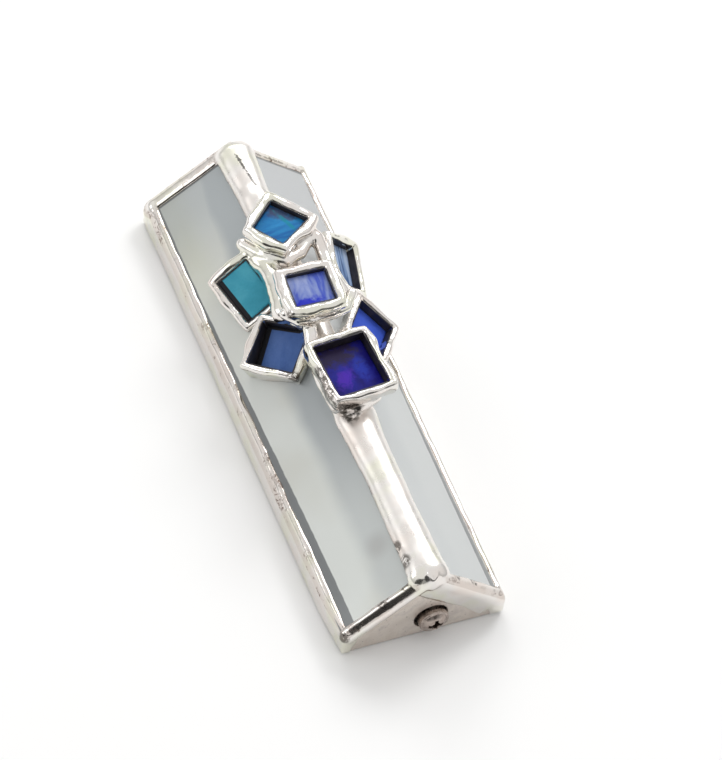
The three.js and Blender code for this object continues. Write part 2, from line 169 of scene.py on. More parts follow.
def mix(share, first, second, blend="MIX"):
    settings = {"data_type": "RGBA", "blend_type": blend}
    made = add_node("Mix", settings, tree_of(share, first, second), Factor=share)
    connect(made.inputs[6], first)
    connect(made.inputs[7], second)
    return made.outputs[2]


def ramp(value, stops):
    made = add_node("ValToRGB", Fac=value)
    elements = made.color_ramp.elements
    while len(elements) < len(stops):
        elements.new(1)
    for element, (position, colour) in zip(elements, stops):
        element.position = position
        element.color = colour
    return made.outputs["Color"]


def noise_of(place, scale, detail=2.0, roughness=0.5, distortion=0.0):
    """Noise with about scale waves per millimetre."""
    return add_node("TexNoise", Vector=place, Scale=scale, Detail=detail, Roughness=roughness,
                    Distortion=distortion).outputs["Fac"]


def axes(place):
    """A place's three coordinates."""
    return add_node("SeparateXYZ", Vector=place).outputs[:]


def bump(shader, height, distance, strength=1.0):
    made = add_node("Bump", Height=height, Distance=distance * MM, Strength=strength)
    fill(shader, Normal=made.outputs["Normal"])


def srgb(red, green, blue):
    """A colour from 0 to 255 as a linear one."""
    def linear(value):
        share = value / 255
        return share / 12.92 if share <= 0.04045 else ((share + 0.055) / 1.055) ** 2.4
    return (linear(red), linear(green), linear(blue), 1.0)


def shades(*stops):
    """Stops of a colour ramp, each given as its position and its colour from 0 to 255."""
    return [(position, srgb(*colour)) for position, *colour in stops]


# -------------------- materials


# Where the solder is rough and darkened: the place and its radius in millimetres.
GRIME_SPOTS = [
    ((-1.9, -14.0, 21.7), 3.2), ((-6.1, -6.4, 25.0), 1.9), ((-6.0, -8.8, 25.0), 2.3),
    ((-6.0, -11.4, 24.8), 2.5), ((-4.4, -14.0, 24.0), 2.3), ((-6.8, 7.2, 26.2), 1.7),
    ((-16.9, -54.4, 5.6), 1.6), ((-8.3, -1.1, 17.2), 1.8), ((-3.4, -45.2, 18.2), 1.7),
    ((-3.1, -49.0, 18.4), 2.1), ((-4.8, -53.1, 16.6), 1.3), ((-9.0, -53.2, 13.0), 1.7),
    ((6.0, -53.2, 15.6), 1.3), ((9.8, -53.4, 12.2), 1.4),
]
# Painted shade of a groove in the ridge near its top end: the dark line's two ends and its half width.
RIDGE_GROOVE_SHADE = ((-0.9, 51.6, 20.7), (0.5, 43.6, 20.7), 0.34)


def solder_material():
    """Hand-run bright tin: soft reflections, pale stains, dark creases, painted groove shade and copper at
    the glass.
    """
    material, shader, place = new_material("solder")
    tint = ramp(noise_of(place, 0.12, 2), [
        (0.30, (0.84, 0.77, 0.72, 1)),
        (0.48, (0.86, 0.83, 0.80, 1)),
        (0.62, (0.82, 0.81, 0.70, 1)),
        (0.75, (0.82, 0.81, 0.80, 1)),
    ])
    # Copper and flux stains, as broken lines where the bead meets the glass.
    x, y, z = axes(place)
    across = calc("ABSOLUTE", x)
    roof = minus(ROOF_APEX, product(across, ROOF_FALL))
    above = calc("DIVIDE", minus(z, roof), SLOPE)
    near_glass = step(above, 0.15, 0.85, 1.0, 0.0)
    near_glass = product(near_glass, step(above, -0.7, -0.4))
    near_glass = product(near_glass, step(across, GLASS_EDGE_X, GLASS_EDGE_X + 0.8))
    tint = mix(product(near_glass, 0.45), tint, srgb(190, 176, 166))
    winding = drift(noise_of(place, 0.5, 5, 0.7, 1.0), 1.0)
    line = step(calc("ABSOLUTE", winding), 0.012, 0.05, 1.0, 0.0)
    patch = step(noise_of(place, 0.2, 4, 0.7), 0.53, 0.6)
    specks = product(near_glass, product(line, patch))
    stained = mix(product(specks, 0.9), tint, srgb(104, 80, 68))
    # Burnt flux in the rough lumps.
    grime = 0.0
    for spot, radius in GRIME_SPOTS:
        far = vector("DISTANCE", place, spot)
        grime = larger(grime, step(far, radius * 0.6, radius, 1.0, 0.0))
    lumps = noise_of(place, 0.75, 5, 0.65, 1.2)
    grime = product(grime, step(lumps, 0.43, 0.51))
    stained = mix(product(grime, 0.85), stained, srgb(92, 86, 80))
    # Painted shade of a groove in the ridge: a winding dark line, as the distance in plan from the line
    # between its ends.
    start, end, half_width = RIDGE_GROOVE_SHADE
    length = Vector(end) - Vector(start)
    offset = vector("SUBTRACT", place, start)
    share = vector("DOT_PRODUCT", offset, length / length.length_squared)
    nearest = vector("MULTIPLY", add_node("Clamp", Value=share).outputs[0], length)
    apart = vector("MULTIPLY", vector("SUBTRACT", offset, nearest), (1, 1, 0))
    apart = plus(vector("LENGTH", apart), drift(lumps, 1.6))
    painted_groove_shade = step(apart, half_width * 0.6, half_width, 0.9, 0.0)
    stained = mix(painted_groove_shade, stained, srgb(96, 94, 92))
    # Pits, and darker colour in hollows.
    pits = step(noise_of(place, 1.7, 5, 0.7), 0.74, 0.78, 0.0, 0.5)
    pits_and_hollows = larger(pits, creases(place, 0.45, 0.487, 0.7))
    # Roughness: satin along the ridge, and dull on pits, hollows and specks.
    rough = step(noise_of(place, 0.35, 3), 0.35, 0.7, 0.10, 0.20)
    satin = product(step(across, 3.8, 4.8, 0.17, 0.0), step(z, 21.0, 22.0, 1.0, 0.0))
    satin = product(satin, step(y, -53.4, -51.0))
    dull = product(larger(pits_and_hollows, specks), 0.3)
    rough = plus(plus(rough, satin), dull)
    fill(shader, Metallic=1, Base_Color=mix(pits_and_hollows, stained, srgb(104, 92, 80)), Roughness=rough)
    bump(shader, noise_of(place, 0.8, 4, 0.55), 0.03, 0.5)
    return material


def creases(place, low, high, strength):
    """How much of a hollow a place is: strength in a sharp one, and 0 on the flat."""
    hollow = add_node("NewGeometry", tree=tree_of(place)).outputs["Pointiness"]
    return step(hollow, low, high, strength, 0.0)


def plate_material():
    """Thinly tinned sheet, satin, with small pits."""
    material, shader, place = new_material("tinned_plate")
    cloud = noise_of(place, 0.25, 4, 0.6)
    colour = ramp(cloud, shades((0.3, 214, 203, 193), (0.55, 226, 217, 208), (0.75, 202, 193, 187)))
    pits = step(noise_of(place, 2.2, 3, 0.6), 0.655, 0.71)
    fill(shader, Metallic=0.6, Base_Color=mix(pits, colour, srgb(90, 70, 60)),
         Roughness=step(cloud, 0.3, 0.7, 0.28, 0.42))
    bump(shader, noise_of(place, 1.1, 5, 0.6), 0.08, 0.5)
    return material


def sheet_material():
    """Rolled sheet metal with fine lines along the case."""
    material, shader, place = new_material("strip_metal")
    lines = add_node("Mapping", Vector=place, Scale=(6, 0.15, 6)).outputs[0]
    grain = noise_of(lines, 1.0, 4, 0.6)
    cloud = noise_of(place, 0.08, 3)
    colour = ramp(cloud, shades((0.3, 168, 170, 170), (0.7, 196, 196, 192)))
    fill(shader, Metallic=1, Base_Color=grained(colour, grain, 0.25),
         Roughness=step(grain, 0.3, 0.7, 0.3, 0.48))
    bump(shader, grain, 0.02, 0.6)
    return material


def grained(colour, grain, strength):
    """A colour made lighter and darker by a grain."""
    grey = add_node("CombineXYZ", X=grain, Y=grain, Z=grain).outputs[0]
    return mix(strength, colour, grey, "OVERLAY")


def steel_material():
    """Nickel-plated screw steel with handling marks, dull inside the recess and dark there from painted
    shade.
    """
    material, shader, place = new_material("screw_steel")
    cloud = noise_of(place, 0.9, 4, 0.6)
    colour = ramp(cloud, shades((0.3, 150, 136, 128), (0.7, 192, 180, 172)))
    # Painted shade in the recess, which is what lies behind the head's dome near the screw's axis.
    offset = vector("MULTIPLY", vector("SUBTRACT", place, (SCREW_X, 0, SCREW_Z)), (1, 0, 1))
    square = vector("DOT_PRODUCT", offset, offset)
    dome = minus(product(square, 0.12), HEAD_PROFILE[0][1])
    recess = step(minus(axes(place)[1], dome), 0.06, 0.3)
    recess = product(recess, step(square, 3.0, 3.6, 1.0, 0.0))
    # Painted shade darkens the recess, and the hollows are darker too.
    recess_shade_and_hollows = larger(creases(place, 0.40, 0.49, 0.8), recess)
    rough = plus(step(cloud, 0.3, 0.7, 0.2, 0.34), product(recess, 0.3))
    fill(shader, Metallic=1, Base_Color=mix(recess_shade_and_hollows, colour, srgb(64, 52, 46)), Roughness=rough)
    bump(shader, noise_of(place, 2.5, 3), 0.03, 0.4)
    return material


STRIP_SHADOW_X = 8.6  # the strip behind the glass shows this far from the middle
GLASS_LIP_X = 15.9
HOLE_SHADOW = (-6.1, -41.7, 15.3)  # where a screw hole of the strip shows through the left panel


def frosted_glass_material():
    """Clear outside, frosted inside: milky with painted light, a painted strip shadow and dark foil edges.
    """
    material, shader, place = new_material("frosted_glass")
    x, along, _ = axes(place)
    across = calc("ABSOLUTE", x)
    left = calc("LESS_THAN", x, 0.0)
    # Painted light: the left panel paler than the right, the right one darker towards the top end, and a
    # paler yellowish patch on the left.
    clouds = step(noise_of(place, 0.05, 2), 0.35, 0.65)
    left_pale = mix(clouds, srgb(238, 242, 238), srgb(230, 232, 225))
    right_pale = mix(step(along, 10, 45), srgb(208, 212, 212), srgb(190, 192, 194))
    pale = mix(left, right_pale, left_pale)
    yellow = product(step(along, 20, 50), step(across, 9, 14))
    pale = mix(product(yellow, left), pale, srgb(222, 222, 196))
    # The strip's soft shadow, and one of its holes.
    edge = plus(across, drift(noise_of(place, 0.07, 2), 3.0))
    zone = step(edge, STRIP_SHADOW_X - 1.6, STRIP_SHADOW_X + 1.8, 1.0, 0.0)
    zone = larger(zone, step(along, 28, 50, 0.0, 0.75))
    zone = product(zone, step(along, -40, -5, 0.5, 1.0))
    zone = product(zone, step(left, 0.0, 1.0, 0.35, 1.0))
    colour = mix(zone, pale, srgb(186, 193, 196))
    hole = vector("DISTANCE", place, HOLE_SHADOW)
    colour = mix(step(hole, 0.5, 4.0, 0.3, 0.0), colour, srgb(150, 144, 142))
    # The dark-backed foil round each panel, seen through the glass just inside the solder.
    width = step(along, 40, -53, 0.2, 1.35)
    width = product(width, step(left, 0.0, 1.0, 0.85, 1.0))
    width = plus(width, drift(noise_of(place, 0.5, 3), 0.25))
    inside = minus(across, minus(GLASS_LIP_X - 0.15, width))
    foil = step(inside, -0.08, 0.08)
    top_edge = step(left, 0.0, 1.0, 52.4, 52.3)
    top = step(minus(along, top_edge), -0.1, 0.1)
    colour = mix(larger(foil, top), colour, srgb(122, 126, 128))
    fill(shader, Base_Color=colour, Transmission_Weight=0.22, IOR=1.5, Coat_Weight=1.0,
         Coat_Roughness=0.06, Roughness=step(noise_of(place, 1.5, 3), 0.3, 0.7, 0.34, 0.42))
    bump(shader, noise_of(place, 0.12, 2), 0.05, 0.5)
    return material


def foil_material():
    """Black backing of the copper foil, seen from inside a cup."""
    material, shader, place = new_material("black_foil")
    cloud = noise_of(place, 0.5, 4, 0.6)
    colour = ramp(cloud, shades((0.35, 34, 32, 36), (0.6, 52, 48, 50), (0.8, 72, 62, 58)))
    fill(shader, Base_Color=colour, Roughness=step(cloud, 0.3, 0.7, 0.35, 0.55))
    bump(shader, noise_of(place, 1.2, 3), 0.06, 0.6)
    return material


def tile_material(name, stops, scale=0.2, stretch=(1.0, 0.6), turn=0, contrast=(0.3, 0.7),
                  patches=(), margins=()):
    """Streaky art glass. Streaks run along the tile's own axis turned by turn degrees, and a patch is a
    soft mark of colour, mostly a stain in the glass but on tile g also painted shade: its centre and radii
    in the tile's plane, its turn, its colour and strength.
    A margin is a painted dark strip for foil and shade beyond a line: the line's normal and its distance
    from the middle."""
    material, shader, _ = new_material(name)
    source = add_node("Attribute", {"attribute_name": "tile_place"}, material.node_tree)
    local = source.outputs["Vector"]
    turned = add_node("Mapping", Vector=local, Rotation=(0, 0, math.radians(turn))).outputs[0]
    streaks = add_node("Mapping", Vector=turned, Scale=(*stretch, 1)).outputs[0]
    value = step(noise_of(streaks, scale, 4, 0.55, 0.6), *contrast)
    colour = ramp(value, stops)
    flat = vector("MULTIPLY", local, (1, 1, 0))
    ragged = drift(noise_of(local, 0.6, 5, 0.65, 0.5), 2.4)
    # Patches are stains in the glass, but for one on tile g that is painted shade.
    for centre, radii, angle, stain, strength in patches:
        offset = vector("SUBTRACT", flat, (*centre, 0))
        spun = add_node("Mapping", {"vector_type": "TEXTURE"}, Vector=offset,
                        Rotation=(0, 0, math.radians(angle)), Scale=(*radii, 1)).outputs[0]
        far = plus(vector("LENGTH", spun), ragged)
        colour = mix(step(far, 0.35, 1.25, strength, 0.0), colour, stain)
    # Margins: painted shade and dark foil along the floor's edge.
    for normal, distance in margins:
        reach = vector("DOT_PRODUCT", flat, Vector((*normal, 0)).normalized())
        beyond = step(reach, distance - 0.08, distance + 0.08)
        colour = mix(beyond, colour, srgb(44, 44, 48))
    fine = noise_of(local, 2.5, 4, 0.6)
    fill(shader, Base_Color=grained(colour, fine, 0.12), Specular_IOR_Level=0.08,
         Roughness=step(fine, 0.3, 0.7, 0.35, 0.5))
    bump(shader, value, 0.03, 0.3)
    return material


def floor_material():
    material, shader, place = new_material("studio_floor")
    cloud = noise_of(place, 0.01, 2)
    fill(shader, Roughness=0.7,
         Base_Color=mix(cloud, (0.95, 0.95, 0.95, 1), (0.96, 0.96, 0.96, 1)))
    return material


# -------------------- mesh helpers


def new_object(name, points, faces):
    """A mesh object from points in millimetres."""
    mesh = bpy.data.meshes.new(name)
    mesh.from_pydata([[c * MM for c in point] for point in points], [], faces)
    mesh.validate()
    return add_object(name, mesh)


def ring_faces(rows, columns):
    """Faces of a closed ring, from rows of points that follow one another round."""
    faces = []
    for row in range(rows):
        after = (row + 1) % rows
        for column in range(columns):
            beside = (column + 1) % columns
            faces.append((row * columns + column, row * columns + beside,
                          after * columns + beside, after * columns + column))
    return faces


def loft(rings):
    """Points and faces of a closed solid through rings of equally many points."""
    size = len(rings[0])
    last = (len(rings) - 1) * size
    points = [point for ring in rings for point in ring]
    faces = ring_faces(len(rings), size)[:last]
    faces.append(tuple(range(size - 1, -1, -1)))
    faces.append(tuple(range(last, last + size)))
    return points, faces


def merged(parts):
    """One list of points and one of faces from several closed solids."""
    points, faces = [], []
    for part_points, part_faces in parts:
        faces += [tuple(index + len(points) for index in face) for face in part_faces]
        points += [tuple(point) for point in part_points]
    return points, faces


def solid(name, points, faces):
    """A closed mesh object with its faces turned outwards."""
    made = new_object(name, points, faces)
    edit = bmesh.new()
    edit.from_mesh(made.data)
    bmesh.ops.recalc_face_normals(edit, faces=edit.faces)
    edit.to_mesh(made.data)
    edit.free()
    return made


def apply_modifiers(made):
    graph = bpy.context.evaluated_depsgraph_get()
    result = bpy.data.meshes.new_from_object(made.evaluated_get(graph))
    made.modifiers.clear()
    made.data = result


def fuse(name, parts, voxel, rounds):
    """Joins overlapping closed solids into one skin of even quads and smooths it."""
    made = solid(name, *merged(parts))
    configure(made.modifiers.new("remesh", "REMESH"), mode="VOXEL", voxel_size=voxel * MM)
    configure(made.modifiers.new("relax", "SMOOTH"), factor=0.5, iterations=rounds)
    apply_modifiers(made)
    shade_smooth(made)
    return made


def shade_smooth(made, sharp=None):
    """Shades a piece smooth, but for edges of more than sharp degrees."""
    made.data.polygons.foreach_set("use_smooth", [True] * len(made.data.polygons))
    if sharp:
        made.data.set_sharp_from_angle(angle=math.radians(sharp))


def read_points(made):
    values = np.empty(len(made.data.vertices) * 3)
    made.data.vertices.foreach_get("co", values)
    return values.reshape(-1, 3) / MM


def write_points(made, points):
    made.data.vertices.foreach_set("co", (points * MM).ravel())
    made.data.update()


def noise_field(points, wavelength, seed):
    offset = Vector((seed * 7.3, seed * 3.1, seed * 5.7))
    return np.array([noise.noise(Vector(point) / wavelength + offset) for point in points])


def knead(made, waves, seed):
    """Pushes the skin in and out along its normals. A wave is its length and its height in mm."""
    points = read_points(made)
    normals = np.empty(len(points) * 3)
    made.data.vertex_normals.foreach_get("vector", normals)
    height = 0
    for order, (length, rise) in enumerate(waves):
        height = height + rise * noise_field(points, length, seed + order)
    write_points(made, points + normals.reshape(-1, 3) * height[:, None])


RIDGE_COVER = (3.4, 3.2)  # half width and height of the ridge bead that floors clear


def clear_the_ridge(made, gap):
    """Lifts what is inside the ridge bead up to gap above it."""
    half_width, height = RIDGE_COVER
    points = read_points(made)
    share = np.clip(np.abs(points[:, 0]) / half_width, 0, 1)
    crown = RIDGE_AXIS_Z + height * np.sqrt(1 - share ** 2) + gap
    points[:, 2] = np.where(share < 1, np.maximum(points[:, 2], crown), points[:, 2])
    write_points(made, points)


def rest_on_roof(made, gap):
    """Lifts what is below the outer glass planes up to gap above them."""
    points = read_points(made)
    across = np.abs(points[:, 0])
    above = (points[:, 2] - ROOF_APEX + ROOF_FALL * across) / SLOPE
    lift = np.where(across > GLASS_EDGE_X, np.maximum(gap - above, 0), 0)
    points[:, 0] += np.sign(points[:, 0]) * lift * ROOF_NORMAL[0]
    points[:, 2] += lift * ROOF_NORMAL[1]
    write_points(made, points)


def clear_the_floors(made, gap):
    """Pushes the solder that comes up a little through a tile's floor back to gap below it."""
    points = np.c_[read_points(made), np.ones(len(made.data.vertices))]
    for tile in TILES.values():
        pose = np.array(tile_pose(tile))
        local = points @ np.linalg.inv(pose).T
        half_width, half_height = half_size(tile, CUP_WALL - CUP_MARGIN)
        above = local[:, 2] + tile["depth"] - tilt(tile, local[:, 0], local[:, 1])
        inside = (np.abs(local[:, 0]) < half_width) & (np.abs(local[:, 1]) < half_height)
        low = inside & (above > -gap) & (above < FLOOR_CATCH)
        local[low, 2] -= above[low] + gap
        points[low] = local[low] @ pose.T
    write_points(made, points[:, :3])


def finish_piece(made, material, body, slot_name, *nodes):
    """Gives a piece its material and its body, and hides the CAD nodes that it stands for; slot_name is not
    used.
    """
    made.data.materials.clear()
    made.data.materials.append(material)
    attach(made, body)
    if nodes:
        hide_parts(*nodes)
    return made


# -------------------- the case's solder

CASE_END = 55.0
CASE_REAR = 0.3
SEAM_STATIONS = 200
RIDGE_AXIS_Z = 17.6
RIDGE_KEEL_Z = 16.2
# Distance along the case, half width and crown height of the ridge bead.
RIDGE_SHAPE = [
    (-55.4, 1.8, 0.5), (-55.0, 3.0, 1.5), (-54.2, 4.0, 2.5), (-52.8, 4.4, 3.1),
    (-50.5, 4.1, 3.3), (-46.0, 3.8, 3.2), (-30.0, 3.75, 3.15), (-20.0, 3.9, 3.1),
    (-14.0, 4.5, 3.0), (-8.0, 3.6, 3.0), (38.0, 3.4, 3.0), (41.5, 3.5, 3.25),
    (44.0, 3.5, 3.0), (48.0, 3.8, 3.2), (53.8, 4.2, 3.4), (55.4, 3.3, 2.6),
]


def on_roof(x, raised):
    return (x + raised * ROOF_NORMAL[0], ROOF_APEX - ROOF_FALL * x + raised * ROOF_NORMAL[1])


def wander(position, wavelength, amount, seed):
    """A slow random drift along a seam."""
    return amount * noise.noise(Vector((position / wavelength, seed * 11.7, seed * 3.3)))


RIDGE_DENT = (7.0, 3.2, 1.1)  # middle, length and depth of the hollow for a tile's corner
RIDGE_SIDES = 25


def ridge_bead():
    ys, halves, crowns = zip(*RIDGE_SHAPE)
    middle, length, depth = RIDGE_DENT
    rings = []
    for y in np.linspace(ys[0], ys[-1], SEAM_STATIONS):
        half = np.interp(y, ys, halves)
        crown = np.interp(y, ys, crowns) + wander(y, 12, 0.12, 1)
        ring = []
        for angle in np.linspace(0, math.pi, RIDGE_SIDES):
            left = math.cos(angle) < 0
            reach = half + wander(y, 8, 0.18, 3 if left else 2)
            if left:
                reach -= depth * math.exp(-((y - middle) / length) ** 2)
            ring.append((reach * math.cos(angle), y, RIDGE_AXIS_Z + crown * math.sin(angle)))
        ring.append((0, y, RIDGE_KEEL_Z))
        rings.append(ring)
    return loft(rings)


EDGE_OUTER_X = 17.6
EDGE_INNER_X = 14.7
EDGE_NARROWING = 0.75  # how much the left seam thins at the screw end
NARROWING_START = -44  # from here on it thins
NARROWING_LENGTH = 11


def edge_bead(side):
    """The seam round a panel's lower edge: a straight side with a rounded lip over the glass."""
    rings = []
    for y in np.linspace(-CASE_END, CASE_END, SEAM_STATIONS):
        narrowed = max(0, (NARROWING_START - y) / NARROWING_LENGTH) ** 1.5
        thin = EDGE_NARROWING * narrowed if side < 0 else 0
        out = EDGE_OUTER_X - thin + wander(y, 14, 0.12, 5 + side)
        lip = GLASS_LIP_X + wander(y, 5, 0.22, 8 + side)
        outline = [
            (EDGE_INNER_X, CASE_REAR),
            (out - 0.15, CASE_REAR),
            (out, 0.55),
            (out, 4.2),
            (out - 0.12, 4.9),
            on_roof(min(16.9, out - 0.7), 0.45),
            on_roof(16.4 - thin * 0.5, 0.6 + wander(y, 4, 0.15, 11)),
            on_roof(lip, 0.2),
            on_roof(lip - 0.1, -0.4),
        ]
        rings.append([(side * x, y, z) for x, z in outline])
    return loft(rings)


# A gable seam's outline: distance from mid-length, and height above the outer glass plane. The
# left one is a bold round rim, and the right one runs out over the plate in a long fillet.
GABLE_OUTLINES = {
    -1: [
        (52.9, -0.4), (52.9, 0.2), (53.25, 0.5), (53.7, 0.6), (54.15, 0.4), (54.6, 0.05),
        (55.0, -0.4), (55.3, -0.9), (55.42, -1.4), (55.35, -1.9), (55.0, -2.4), (54.7, -3.0),
        (54.0, -3.2), (53.6, -2.4), (53.3, -0.6),
    ],
    1: [
        (52.9, -0.4), (52.9, 0.15), (53.3, 0.45), (53.8, 0.55), (54.4, 0.35), (54.85, 0.0),
        (55.1, -0.5), (55.2, -1.2), (55.15, -2.0), (55.0, -3.0), (54.88, -4.0), (54.75, -5.2),
        (54.62, -6.4), (54.0, -6.4), (53.6, -3.6), (53.3, -0.6),
    ],
}
LIP_POINTS = 3  # the outline's first points, which move with the lip
GABLE_FROM_X = 0.6
GABLE_TO_X = 17.0
GABLE_LIMIT_X = 17.5  # the rim goes no further out than this
GABLE_STATIONS = 50
TOP_LEFT_LIP = 0.3  # how much further this seam's lip reaches over the glass
TOP_LEFT_REACH = 0.85  # how much further it stands out at the end


def gable_bead(end, side):
    """The seam along a sloping end edge, with a round rim and a hollow fillet down to the plate."""
    rings = []
    for x in np.linspace(GABLE_FROM_X, GABLE_TO_X, GABLE_STATIONS):
        shift = wander(x, 4, 0.18, 20 + 3 * end + side)
        outward = 0.0
        if (end, side) == (1, -1):
            shift += TOP_LEFT_LIP
            outward = TOP_LEFT_REACH
        swell = 1 + wander(x, 6, 0.12, 30 + 3 * end + side)
        ring = []
        for order, (away, raised) in enumerate(GABLE_OUTLINES[side]):
            reach = away - shift if order < LIP_POINTS else away + outward
            across, height = on_roof(x, raised * swell)
            ring.append((side * min(across, GABLE_LIMIT_X), end * reach, height))
        rings.append(ring)
    return loft(rings)


def pointing(lean, toward):
    """The direction that leans by one angle from +Z, towards another angle round it."""
    return (math.sin(lean) * math.cos(toward), math.sin(lean) * math.sin(toward), math.cos(lean))


BALL_SIDES = 16


def ball(centre, radii):
    """A drop of solder."""
    rings = []
    for lean in np.linspace(0.05, math.pi - 0.05, BALL_SIDES):
        ring = []
        for turn in np.linspace(0, 2 * math.pi, BALL_SIDES, endpoint=False):
            ring.append(tuple(c + r * d for c, r, d in zip(centre, radii, pointing(lean, turn))))
        rings.append(ring)
    return loft(rings)


# The drops in the case's lower corners, as their centre and radii.
CORNER_DROPS = [
    ((16.2, 53.8, 4.9), (1.2, 1.4, 1.7)),
    ((14.6, 53.9, 3.7), (1.3, 0.95, 3.1)),
]
TOP_LEFT_DROP = ((-16.2, 53.9, 4.2), (1.9, 2.2, 3.2))


def case_solder(material):
    parts = [ridge_bead()]
    nodes = ["ridge_seam"]
    for side, side_name in ((-1, "left"), (1, "right")):
        parts.append(edge_bead(side))
        nodes.append(f"{side_name}_edge_seam")
        for end, end_name in ((-1, "bottom"), (1, "top")):
            parts.append(gable_bead(end, side))
            nodes.append(f"{end_name}_{side_name}_gable_seam")
            for (x, y, z), radii in CORNER_DROPS:
                parts.append(ball((side * x, end * y, z), radii))
    parts.append(ball(*TOP_LEFT_DROP))
    made = fuse("case_solder", parts, voxel=0.27, rounds=6)
    knead(made, [(8.0, 0.09), (3.2, 0.035), (1.3, 0.012)], seed=3)
    return finish_piece(made, material, "glazed_case", "solder", *nodes)


# -------------------- tiles

LIP_DROP = 0.35  # the cup's rim lies this far below the frame's crest
CUP_WALL = 0.3
CUP_MARGIN = 0.12  # the cup stands this far inside the frame's opening
CUP_FOOT = 0.35  # the cup goes this far below its floor
FLOOR_THICKNESS = 0.4
FLOOR_CATCH = 0.5  # solder no higher than this above a floor is pushed under it

# The centre of the opening, its width and height, the way the tile faces, how deep its coloured
# floor lies, and how much solder is round it. rise lifts one corner of the floor, and shift is a
# corner of the opening and how far it is pulled in.
TILES = {
    "d": dict(centre=(-0.7, 12, 28), size=(8.5, 7.8), lean=2, lean_to=180, spin=-3,
              depth=1.3, border=2.3),
    "g": dict(centre=(1, -6.5, 26), size=(11.3, 12.4), lean=3, lean_to=-45, spin=5,
              depth=2.8, border=1.6),
    "a": dict(centre=(0.4, 30.5, 25), size=(8.6, 8.4), lean=4, lean_to=45, spin=-47,
              depth=1.5, border=2.2, shift=((1, -1), (-1.5, -0.5))),
    "c": dict(centre=(-8.6, 7, 17.5), size=(10.2, 9.6), lean=27, lean_to=180, spin=-43,
              depth=2.9, border=1.7, rise=1.6),
    "b": dict(centre=(-9.3, 21.9, 16.5), size=(10, 7.6), lean=40, lean_to=-140, spin=-81,
              depth=0.45, border=2.0),
    "e": dict(centre=(13.1, 22.9, 16), size=(7.6, 9.9), lean=47, lean_to=-20, spin=0,
              depth=2.0, border=1.9),
    "f": dict(centre=(11.6, 5.8, 17), size=(9, 9.4), lean=35, lean_to=-24, spin=-36,
              depth=2.2, border=1.6),
}
RAISED_TILES = "adg"  # these stand on posts over the ridge


def tile_pose(tile):
    normal = Vector(pointing(math.radians(tile["lean"]), math.radians(tile["lean_to"])))
    across = Vector((0, 1, 0)).cross(normal).normalized()
    up = normal.cross(across)
    pose = Matrix((across, up, normal)).transposed().to_4x4()
    spin = Matrix.Rotation(math.radians(tile["spin"]), 4, "Z")
    return Matrix.Translation(tile["centre"]) @ pose @ spin


def placed(tile, part):
    """Pulls in the corner that a tile's shift names, and moves a part to the tile's place."""
    pose = tile_pose(tile)
    half_width, half_height = half_size(tile)
    (corner_x, corner_y), (pull_x, pull_y) = tile.get("shift", ((1, 1), (0, 0)))
    points, faces = part
    moved = []
    for x, y, z in points:
        share_x = max(0, (1 + corner_x * x / half_width) / 2)
        share_y = max(0, (1 + corner_y * y / half_height) / 2)
        share = min(1, share_x * share_y)
        moved.append(tuple(pose @ Vector((x + pull_x * share, y + pull_y * share, z))))
    return moved, faces


def half_size(tile, margin=0):
    """Half the width and height of a tile's opening grown by margin."""
    return [length / 2 + margin for length in tile["size"]]


def tilt(tile, x, y):
    """How far a tile's floor lies above its middle at a place, where the tile has a rise."""
    return tile.get("rise", 0) * (x / tile["size"][0] + y / tile["size"][1])


SIDE_STEPS = 12


def rectangle_walk(half_width, half_height):
    """Points round a rectangle, SIDE_STEPS to a side."""
    walk = []
    corners = SQUARE[1:] + SQUARE[:1]
    for index, (sx, sy) in enumerate(corners):
        nx, ny = corners[(index + 1) % 4]
        for count in range(SIDE_STEPS):
            share = count / SIDE_STEPS
            x = (sx + (nx - sx) * share) * half_width
            y = (sy + (ny - sy) * share) * half_height
            walk.append((x, y))
    return walk


CORNER_RAMP = 2.2  # a corner's rounding starts this far from it
CORNER_CUT = 0.8  # share of the border that is left at a corner


def grown(point, half_width, half_height, border):
    """A point of the opening's edge moved outwards by border, with rounded corners."""
    x, y = point
    near_x = max(0, 1 - (half_width - abs(x)) / CORNER_RAMP)
    near_y = max(0, 1 - (half_height - abs(y)) / CORNER_RAMP)
    on_x = abs(abs(x) - half_width) < 1e-6
    on_y = abs(abs(y) - half_height) < 1e-6
    push_x = border * ((1 - (1 - CORNER_CUT) * near_y) if on_x else CORNER_CUT * near_x)
    push_y = border * ((1 - (1 - CORNER_CUT) * near_x) if on_y else CORNER_CUT * near_y)
    return (x + math.copysign(push_x, x), y + math.copysign(push_y, y))


# A frame's section from the inner foot over the crest to the outer foot: share of the border, and
# height above the tile's face, or None at the foot.
FRAME_SECTION = [
    (0.0, None), (0.0, -0.25), (0.18, 0.06), (0.45, 0.25), (0.75, 0.05),
    (0.95, -0.45), (1.0, -1.1), (0.92, -2.2), (0.7, None),
]
FRAME_FOOT = 1.0  # the foot lies this far below the tile's floor
BORDER_SWELL = 0.35
CREST_SWELL = 0.18


def frame_ring(tile, seed):
    """The solder round a tile, as a closed ring with a lumpy, rounded section."""
    half_width, half_height = half_size(tile)
    bottom = -tile["depth"] - FRAME_FOOT
    walk = rectangle_walk(half_width, half_height)
    points = []
    for x, y in walk:
        swell = noise.noise(Vector((x / 3.5, y / 3.5, seed * 5.1)))
        border = tile["border"] * (1 + BORDER_SWELL * swell)
        crest = CREST_SWELL * noise.noise(Vector((x / 2.5, y / 2.5, seed * 9.7)))
        for share, height in FRAME_SECTION:
            px, py = grown((x, y), half_width, half_height, border * share)
            points.append((px, py, bottom + tilt(tile, x, y) if height is None else height + crest))
    return points, ring_faces(len(walk), len(FRAME_SECTION))


